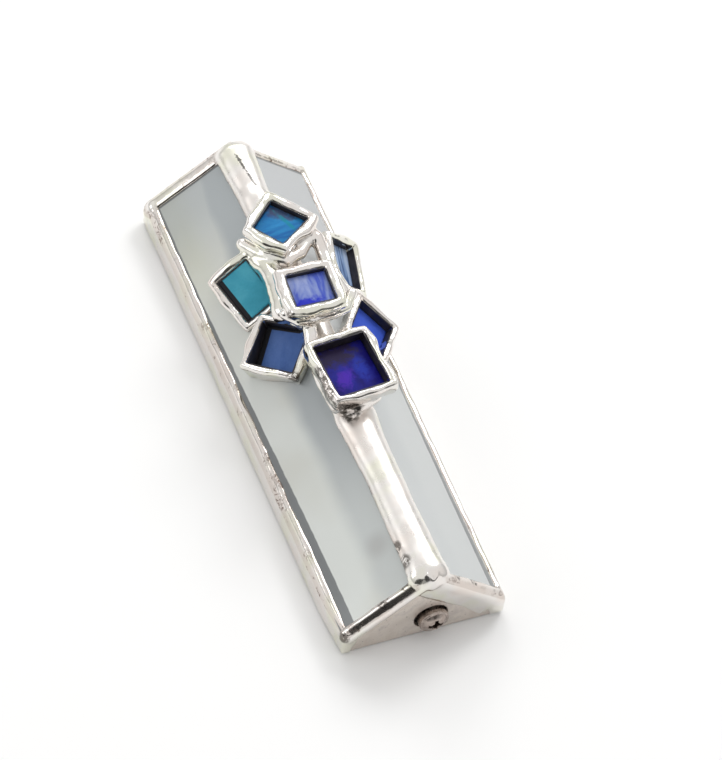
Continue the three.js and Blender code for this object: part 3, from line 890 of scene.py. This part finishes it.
def slab(tile, margin, top, bottom):
    """A plate that fills the opening grown by margin, between two heights."""
    half_width, half_height = half_size(tile, margin)
    ring = [(x * half_width, y * half_height) for x, y in SQUARE]
    return loft([[(x, y, level + tilt(tile, x, y)) for x, y in ring] for level in (bottom, top)])


GRID_STEPS = 24
GRID_WAVE = 0.03


def grid_slab(tile, margin, seed):
    """A tile's coloured floor, as a plate of fine, slightly wavy squares."""
    half_width, half_height = half_size(tile, margin)
    steps = GRID_STEPS
    points, faces = [], []
    for level in (0, 1):
        for row in range(steps + 1):
            for column in range(steps + 1):
                x = half_width * (2 * column / steps - 1)
                y = half_height * (2 * row / steps - 1)
                wave = GRID_WAVE * noise.noise(Vector((x / 2.5, y / 2.5, seed)))
                wave += tilt(tile, x, y)
                points.append((x, y, -tile["depth"] + wave - level * FLOOR_THICKNESS))
    layer = (steps + 1) ** 2
    for row in range(steps):
        for column in range(steps):
            low = row * (steps + 1) + column
            quad = (low, low + 1, low + steps + 2, low + steps + 1)
            faces.append(quad)
            faces.append(tuple(index + layer for index in reversed(quad)))
    rim = list(range(steps))
    rim += [(steps + 1) * row + steps for row in range(steps)]
    rim += [layer - 1 - column for column in range(steps)]
    rim += [(steps + 1) * (steps - row) for row in range(steps)]
    for index, here in enumerate(rim):
        beside = rim[(index + 1) % len(rim)]
        faces.append((beside, here, here + layer, beside + layer))
    return points, faces


def cup(tile):
    """The foil round the inside of an opening: a thin closed wall, open above and below."""
    half_width, half_height = half_size(tile, -CUP_MARGIN)
    shares = list(np.linspace(0, 1, 6))
    section = [(0.0, share) for share in shares] + [(CUP_WALL, share) for share in reversed(shares)]
    walk = rectangle_walk(half_width, half_height)
    points = []
    for x, y in walk:
        foot = tilt(tile, x, y) - tile["depth"] - CUP_FOOT
        for spread, share in section:
            level = -LIP_DROP + share * (foot + LIP_DROP)
            points.append((x * (1 + spread / half_width), y * (1 + spread / half_height), level))
    return points, ring_faces(len(walk), len(section))


def tag_tile_place(made, tile):
    """Stores each point's place in the tile's own frame, in millimetres, for the glass pattern."""
    inverse = tile_pose(tile).inverted()
    places = [inverse @ Vector(point) for point in read_points(made)]
    attribute = made.data.attributes.new("tile_place", "FLOAT_VECTOR", "POINT")
    attribute.data.foreach_set("vector", np.array(places).ravel())


def tile_pieces(name, colour, foil):
    """A tile's dark foil cup and its coloured floor."""
    tile = TILES[name]
    slot_name = TILE_LOOKS[name]["name"]
    liner = solid(f"tile_{name}_foil", *placed(tile, cup(tile)))
    rest_on_roof(liner, 0.06)
    shade_smooth(liner, sharp=40)
    finish_piece(liner, foil, "glazed_case", slot_name)
    plate = grid_slab(tile, -CUP_MARGIN - 0.02, seed=ord(name))
    floor = solid(f"tile_{name}_colour", *placed(tile, plate))
    tag_tile_place(floor, tile)
    rest_on_roof(floor, 0.25)
    clear_the_ridge(floor, 0.1)
    shade_smooth(floor)
    finish_piece(floor, colour, "glazed_case", slot_name, f"tile_{name}_glass")


TILE_LOOKS = {
    "a": dict(
        name="tile_a_blue",
        stops=shades((0.0, 22, 79, 146), (0.45, 31, 100, 163), (0.7, 39, 121, 178), (1.0, 49, 133, 190)),
        scale=0.28, stretch=(1.0, 0.25), turn=40, contrast=(0.3, 0.72),
        patches=[
            ((-1.6, 3.2), (4.4, 1.8), 20, srgb(66, 68, 92), 0.85),
            ((1.0, 1.6), (4.0, 0.5), -20, srgb(24, 134, 150), 0.7),
        ]),
    "b": dict(
        name="tile_b_teal",
        stops=shades((0.0, 68, 158, 182), (0.5, 76, 167, 192), (1.0, 88, 178, 200)),
        turn=20, margins=[((0, -1), 2.6)]),
    "c": dict(
        name="tile_c_slate",
        stops=shades((0.0, 74, 104, 168), (0.5, 82, 113, 176), (1.0, 92, 122, 184)),
        margins=[((-1, 0), 3.7), ((0, 1), 4.1), ((1, 1), 5.8)]),
    "d": dict(
        name="tile_d_violet",
        stops=shades((0.0, 44, 60, 176), (0.4, 80, 98, 186), (0.65, 122, 138, 196), (1.0, 152, 164, 206)),
        scale=0.3, stretch=(1.0, 0.3), turn=5, contrast=(0.32, 0.72),
        patches=[((-2.2, -3.4), (3.8, 1.8), 10, srgb(38, 46, 186), 0.95)]),
    "e": dict(
        name="tile_e_pale",
        stops=shades((0.0, 52, 74, 118), (0.35, 112, 138, 180), (0.6, 148, 172, 208), (1.0, 180, 198, 226)),
        scale=0.6, stretch=(1.0, 0.09), contrast=(0.28, 0.66)),
    "f": dict(
        name="tile_f_royal",
        stops=shades((0.0, 58, 84, 192), (0.5, 65, 93, 203), (1.0, 74, 102, 212)),
        turn=30),
    "g": dict(
        name="tile_g_indigo",
        stops=shades((0.0, 20, 16, 96), (0.5, 28, 26, 124), (1.0, 36, 40, 146)),
        stretch=(1.0, 0.7), turn=10,
        patches=[
            ((-1.6, -1.2), (3.0, 1.9), 60, srgb(80, 40, 176), 0.75),
            ((2.6, 0.6), (1.6, 3.6), 0, srgb(38, 56, 168), 0.8),
            # Painted shade: this dark patch darkens the floor's left and upper part.
            ((-2.2, 4.8), (7.0, 4.0), 0, srgb(46, 38, 64), 0.95),
        ]),
}


# Runs of solder that tie the frames together: the points they pass and their radius.
STRANDS = [
    ([(5.4, 28.9, 22.8), (7.0, 26.4, 21.8), (7.3, 23.5, 20.6), (7.2, 20.6, 20.4)], 1.5),
    ([(10.2, 28.8, 17.6), (9.0, 24.4, 17.0), (8.7, 19.4, 17.6), (9.4, 15.6, 17.0)], 1.5),
    ([(-7.4, 30.2, 20.6), (-5.6, 27.2, 21.2), (-3.7, 24.9, 21.5), (-0.9, 22.9, 21.7), (2.6, 24.3, 21.8),
      (5.9, 27.4, 22.0)], 1.4),
    ([(-5.6, 27.0, 19.2), (-4.6, 23.8, 19.8), (-4.3, 20.0, 20.4), (-4.9, 16.2, 20.4),
      (-5.6, 12.2, 20.4)], 2.3),
    ([(-6.9, 9.3, 24.6), (-4.9, 6.9, 24.3), (-1.6, 6.6, 24.2), (2.2, 6.6, 24.3), (5.6, 7.3, 24.5),
      (7.7, 10.0, 25.0)], 1.1),
    ([(7.4, 17.6, 20.4), (9.0, 14.4, 18.6)], 1.3),
    ([(-2.4, 7.6, 22.6), (-2.8, 4.6, 21.6), (-3.6, 1.8, 20.6)], 1.5),
    ([(-2.4, 5.7, 20.4), (-2.8, -0.5, 20.2)], 1.5),
    ([(-4.4, -2.4, 21.8), (-4.7, -7.0, 21.4), (-4.2, -11.2, 21.2)], 1.3),
    ([(-3.4, -12.0, 20.9), (0.0, -13.2, 20.6), (4.2, -11.6, 20.6)], 1.9),
    ([(-0.6, -12.0, 19.2), (-0.3, -16.5, 17.4)], 2.6),
]
STRAND_SIDES = 14
STRAND_END = (0.38, 0.7, 0.92, 1.0)  # stations of a round end, as shares of the radius


def strand(route, radius):
    """A round run of solder through a few points, with round ends."""
    points = [Vector(point) for point in route]
    first, last = (points[0] - points[1]).normalized(), (points[-1] - points[-2]).normalized()

    def end_stations(point, outwards, along):
        return [(point + outwards * radius * share, radius * math.sqrt(1.0001 - share ** 2), along)
                for share in STRAND_END]

    stations = end_stations(points[0], first, -first)[::-1]
    for index, point in enumerate(points):
        before, after = points[max(index - 1, 0)], points[min(index + 1, len(points) - 1)]
        stations.append((point, radius, (after - before).normalized()))
    stations += end_stations(points[-1], last, last)
    turns = np.linspace(0, 2 * math.pi, STRAND_SIDES, endpoint=False)
    rings = []
    for centre, reach, along in stations:
        side = along.cross(Vector((0.31, 0.2, 0.93))).normalized()
        other = along.cross(side)
        rings.append([tuple(centre + (side * math.cos(turn) + other * math.sin(turn)) * reach)
                      for turn in turns])
    return loft(rings)


BASE_TOP = 0.5  # the solder under a floor lies between these two depths
BASE_BOTTOM = 1.2
BASE_MARGIN = 0.5
POST_DROP = 0.8  # a post's top lies this far below its tile's floor
POST_RADII = (3.0, 3.2)


def tile_solder(material):
    parts = []
    for name, tile in TILES.items():
        floor = -tile["depth"]
        parts.append(placed(tile, frame_ring(tile, ord(name))))
        parts.append(placed(tile, slab(tile, BASE_MARGIN, floor - BASE_TOP, floor - BASE_BOTTOM)))
    for name in RAISED_TILES:
        x, y, z = TILES[name]["centre"]
        top = z - TILES[name]["depth"] - POST_DROP
        middle, reach = (top + RIDGE_AXIS_Z) / 2, (top - RIDGE_AXIS_Z) / 2
        parts.append(ball((x * 0.5, y, middle), (*POST_RADII, reach)))
    parts += [strand(route, radius) for route, radius in STRANDS]
    made = fuse("tile_solder", parts, voxel=0.24, rounds=12)
    knead(made, [(3.5, 0.22), (1.7, 0.06), (0.8, 0.012)], seed=7)
    rest_on_roof(made, 0.03)
    clear_the_floors(made, 0.15)
    nodes = [f"tile_{name}_frame" for name in TILES] + [f"tile_{name}_post" for name in RAISED_TILES]
    return finish_piece(made, material, "glazed_case", "solder", *nodes)


# -------------------- screw, washer, sheet parts

PLATE_FACE = 54.6
PLATE_THICKNESS = 1.0
PLATE_HALF_WIDTH = 15.1
PLATE_TOP = 15.9
PLATE_INSET = 1.0
ROUND_SIDES = 64


def disc(radius, y, middle=(SCREW_X, SCREW_Z)):
    """A ring of points round an axis along the case."""
    x, z = middle
    turns = np.linspace(0, 2 * math.pi, ROUND_SIDES, endpoint=False)
    return [(x + radius * math.cos(turn), y, z + radius * math.sin(turn)) for turn in turns]


def cut(made, points, faces):
    """Takes a closed solid away from a piece."""
    cutter = solid("cutter", points, faces)
    difference = made.modifiers.new("cut", "BOOLEAN")
    configure(difference, operation="DIFFERENCE", solver="EXACT", object=cutter)
    apply_modifiers(made)
    bpy.data.objects.remove(cutter)


def bevel(made, width):
    """Rounds a piece's sharp edges."""
    configure(made.modifiers.new("round", "BEVEL"), width=width * MM, segments=3,
              limit_method="ANGLE", angle_limit=math.radians(35))
    apply_modifiers(made)
    shade_smooth(made, sharp=40)


# The turned screw from the head's face to the tip: radius and distance from mid-length.
HEAD_PROFILE = [
    (0.5, 57.0), (1.2, 56.9), (1.8, 56.67), (2.3, 56.37), (2.5, 56.15),
    (2.58, 56.07), (2.72, 56.1), (2.95, 56.04), (3.08, 55.86), (3.1, 55.6),
    (3.1, 54.2), (3.02, 54.05), (2.9, 54.0), (1.5, 54.0),
]
THREAD_START = 53.6
THREAD_END = 48.5
THREAD_PITCH = 0.5
THREAD_DEPTH = 0.3
THREAD_STEPS = 6  # rings in one pitch
SHANK_RADIUS = 1.5
TIP_Y = 48.0
RECESS_ARMS = [(1.7, 0.42), (0.42, 1.7)]
RECESS_TAPER = (0.55, 1.12)  # how wide the arms are at the floor and at the opening
RECESS_CORE = (0.45, 1.15)  # the middle's radius at the floor and at the opening
RECESS_FLOOR = 55.7
RECESS_OPEN = 57.4


def screw_solid():
    rings = [disc(radius, -y) for radius, y in HEAD_PROFILE]
    rings.append(disc(SHANK_RADIUS - 0.02, -THREAD_START - 0.1))
    count = round((THREAD_START - THREAD_END) / THREAD_PITCH * THREAD_STEPS)
    for index in range(count + 1):
        y = THREAD_START - index * THREAD_PITCH / THREAD_STEPS
        ring = []
        for order, (x, _, z) in enumerate(disc(1.0, 0.0, (0.0, 0.0))):
            phase = (index / THREAD_STEPS + order / ROUND_SIDES) % 1
            radius = SHANK_RADIUS - THREAD_DEPTH * abs(2 * phase - 1)
            ring.append((SCREW_X + radius * x, -y, SCREW_Z + radius * z))
        rings.append(ring)
    rings.append(disc(SHANK_RADIUS - THREAD_DEPTH, -THREAD_END + 0.15))
    rings.append(disc(SHANK_RADIUS - 2 * THREAD_DEPTH, -TIP_Y))
    return loft(rings)


def lock_screw(material):
    """A pan head with a Phillips recess, on a threaded shank."""
    made = solid("screw", *screw_solid())
    depths = (-RECESS_FLOOR, -RECESS_OPEN)
    for half_x, half_z in RECESS_ARMS:
        rings = []
        for taper, y in zip(RECESS_TAPER, depths):
            rings.append([(SCREW_X + x * half_x * taper, y, SCREW_Z + z * half_z * taper)
                          for x, z in SQUARE])
        cut(made, *loft(rings))
    cut(made, *loft([disc(radius, y) for radius, y in zip(RECESS_CORE, depths)]))
    shade_smooth(made, sharp=34)
    return finish_piece(made, material, "clamp_screw", "screw_steel", "lock_screw")


HEAD_HOLE = (3.55, (1.56, 5.42))  # radius and middle


def bottom_plate(material):
    """The end sheet with its hole for the screw's head."""
    top_x = (ROOF_APEX - PLATE_INSET * SLOPE - PLATE_TOP) / ROOF_FALL
    shoulder = ROOF_APEX - PLATE_INSET * SLOPE - ROOF_FALL * PLATE_HALF_WIDTH
    outline = [
        (-PLATE_HALF_WIDTH, CASE_REAR),
        (PLATE_HALF_WIDTH, CASE_REAR),
        (PLATE_HALF_WIDTH, shoulder),
        (top_x, PLATE_TOP),
        (-top_x, PLATE_TOP),
        (-PLATE_HALF_WIDTH, shoulder),
    ]
    levels = (-PLATE_FACE, -PLATE_FACE + PLATE_THICKNESS)
    made = solid("bottom_plate", *loft([[(x, y, z) for x, z in outline] for y in levels]))
    radius, middle = HEAD_HOLE
    past = (-PLATE_FACE - 1, -PLATE_FACE + 2 * PLATE_THICKNESS)
    cut(made, *loft([disc(radius, y, middle) for y in past]))
    bevel(made, 0.15)
    return finish_piece(made, material, "glazed_case", "tinned_plate", "bottom_end_plate")


# The washer's section: radius and distance from mid-length.
WASHER_SECTION = [
    (1.8, 52.8), (2.95, 52.8), (3.15, 52.9), (3.15, 53.2), (2.95, 53.3), (1.8, 53.3),
]


def washer(material):
    points = [point for radius, y in WASHER_SECTION for point in disc(radius, -y)]
    made = solid("washer_ring", points, ring_faces(len(WASHER_SECTION), ROUND_SIDES))
    shade_smooth(made, sharp=30)
    return finish_piece(made, material, "clamp_washer", "screw_steel", "washer")


def softened(node, name, width, material, body, slot_name):
    """A copy of a CAD node with its sharp edges rounded."""
    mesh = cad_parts[node].data.copy()
    made = add_object(name, mesh)
    edit = bmesh.new()
    edit.from_mesh(mesh)
    bmesh.ops.remove_doubles(edit, verts=edit.verts, dist=1e-6)
    bmesh.ops.dissolve_limit(edit, angle_limit=math.radians(1), verts=edit.verts, edges=edit.edges)
    edit.to_mesh(mesh)
    edit.free()
    bevel(made, width)
    return finish_piece(made, material, body, slot_name, node)


# -------------------- studio


# The dark side of the room: direction, inner and outer angle in degrees, and brightness left.
DARK_CARDS = [
    ((-0.64, -0.72, 0.3), 26, 30, 0.08),
    ((0.24, -0.93, 0.28), 19, 27, 0.15),
]
# Softboxes: name, place in metres, edge length in metres and power in watts.
SOFTBOXES = [
    ("key", (0.66, 0.54, 0.84), 0.45, 4.4),
    ("back", (0.1, 0.95, 0.7), 0.5, 2.4),
    ("fill", (-0.95, 0.2, 0.55), 0.6, 1.2),
]
FLOOR_REACH = 4000


def studio():
    points = [(x * FLOOR_REACH, y * FLOOR_REACH, 0) for x, y in SQUARE]
    floor = new_object("studio_floor", points, [(0, 1, 2, 3)])
    floor.data.materials.append(floor_material())
    world = bpy.data.worlds.new("studio")
    bpy.context.scene.world = world
    world.use_nodes = True
    tree = world.node_tree
    direction = add_node("TexCoord", tree=tree).outputs["Generated"]
    sky = step(axes(direction)[2], -0.05, 0.6, 0.5, 0.84)
    for toward, inner, outer, darkness in DARK_CARDS:
        facing = vector("DOT_PRODUCT", direction, Vector(toward).normalized())
        edges = (math.cos(math.radians(outer)), math.cos(math.radians(inner)))
        sky = product(sky, step(facing, *edges, 1.0, darkness))
    fill(tree.nodes["Background"], Strength=sky, Color=(1.0, 0.995, 0.985, 1))
    for name, place, size, power in SOFTBOXES:
        data = bpy.data.lights.new(name, "AREA")
        configure(data, shape="SQUARE", size=size, energy=power)
        lamp = add_object(name, data)
        lamp.location = place
        lamp.rotation_euler = (-Vector(place)).to_track_quat("-Z", "Y").to_euler()
    bpy.context.scene.view_settings.view_transform = "Standard"


# -------------------- assembly

add_camera()
studio()
solder = solder_material()
case_solder(solder)
tile_solder(solder)
foil = foil_material()
tile_colours = {name: tile_material(**look) for name, look in TILE_LOOKS.items()}
for tile_name, tile_colour in tile_colours.items():
    tile_pieces(tile_name, tile_colour, foil)
glass = frosted_glass_material()
for node_name in ("left_glass_panel", "right_glass_panel"):
    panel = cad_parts[node_name]
    panel.data.materials.clear()
    panel.data.materials.append(glass)
plate, sheet, steel = plate_material(), sheet_material(), steel_material()
bottom_plate(plate)
softened("top_end_plate", "top_plate", 0.15, plate, "glazed_case", "tinned_plate")
softened("clamp_bracket", "bracket", 0.2, sheet, "glazed_case", "strip_metal")
softened("back_strip", "strip", 0.15, sheet, "back_plate", "strip_metal")
washer(steel)
lock_screw(steel)
